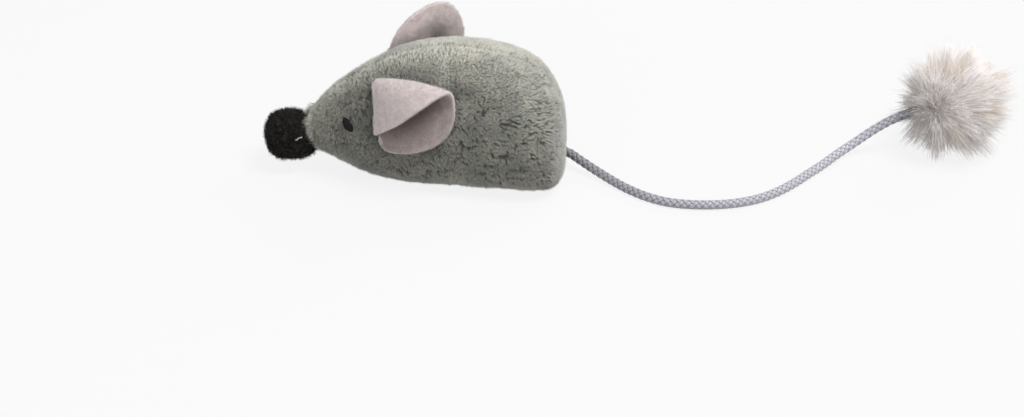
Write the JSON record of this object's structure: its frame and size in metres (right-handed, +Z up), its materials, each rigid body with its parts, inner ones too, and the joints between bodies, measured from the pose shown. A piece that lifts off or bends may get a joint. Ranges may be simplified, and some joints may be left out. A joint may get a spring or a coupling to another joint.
{
  "type": "catnip mouse",
  "caption": "Stuffed plush catnip mouse with rolled felt ears, stitched eyes, a fuzzy ball nose and a satin cord tail that ends in a fur pompom.",
  "frame": {"origin": "centre of the flat of the belly, on the surface that the mouse lies on", "axes": "+Z up, +X from the nose towards the tail, so the nose points to -X and the mouse's left side faces -Y"},
  "size_m": [0.1875, 0.0456, 0.0395],
  "materials": {
    "grey_plush": "short curly plush pile, mottled light and dark grey",
    "seam_thread": "twisted sewing thread",
    "polyester_stuffing": "loose polyester fibre",
    "catnip_muslin": "thin muslin over dried leaf",
    "black_fibre": "fuzzy craft ball of short fibres",
    "black_thread": "glossy black thread",
    "ear_felt": "pinkish grey felt with loose surface fibres",
    "satin_cord": "braided satin cord, silvery lavender grey",
    "pompom_fur": "long soft fur, pale pinkish beige"
  },
  "bodies": {
    "body": {"side_panel_left": "grey_plush", "side_panel_right": "grey_plush", "belly_panel": "grey_plush", "back_seam_thread": "seam_thread", "belly_seam_thread": "seam_thread", "stuffing": "polyester_stuffing", "catnip_pouch": "catnip_muslin", "nose_pompom": "black_fibre", "nose_thread": "black_thread", "left_eye": "black_thread", "right_eye": "black_thread", "tail_knot": "satin_cord"},
    "ear_left": {"left_ear": "ear_felt", "left_ear_stitch": "black_thread"},
    "ear_right": {"right_ear": "ear_felt", "right_ear_stitch": "black_thread"},
    "tail_root": {"tail_cord_root": "satin_cord"},
    "tail": {"tail_cord": "satin_cord"},
    "pompom": {"pompom_binding": "satin_cord", "pompom_core": "pompom_fur", "pompom_fur": "pompom_fur"}
  },
  "joints": [
    {"name": "left_ear_flap", "type": "hinge", "parent": "body", "child": "ear_left", "pos_m": [-0.01707, -0.00646, 0.02785], "axis": [-0.6888, -0.2723, -0.6719], "range_deg": [0, 50], "stiffness_Nm_per_rad": 0.001},
    {"name": "right_ear_flap", "type": "hinge", "parent": "body", "child": "ear_right", "pos_m": [-0.01441, 0.01103, 0.02417], "axis": [-0.139, -0.5166, 0.8449], "range_deg": [0, 45], "stiffness_Nm_per_rad": 0.001},
    {"name": "tail_swing", "type": "hinge", "parent": "body", "child": "tail_root", "pos_m": [0.0324, -0.00092, 0.00392], "axis": [0, 0, 1], "range_deg": [-40, 80]},
    {"name": "tail_lift", "type": "hinge", "parent": "tail_root", "child": "tail", "pos_m": [0.03703, -0.00494, 0.00252], "axis": [0, -1, 0], "range_deg": [0, 75]},
    {"name": "pompom_flop", "type": "hinge", "parent": "tail", "child": "pompom", "pos_m": [0.11401, 0.00607, 0.01026], "axis": [0, 0, 1], "range_deg": [-45, 45]}
  ]
}
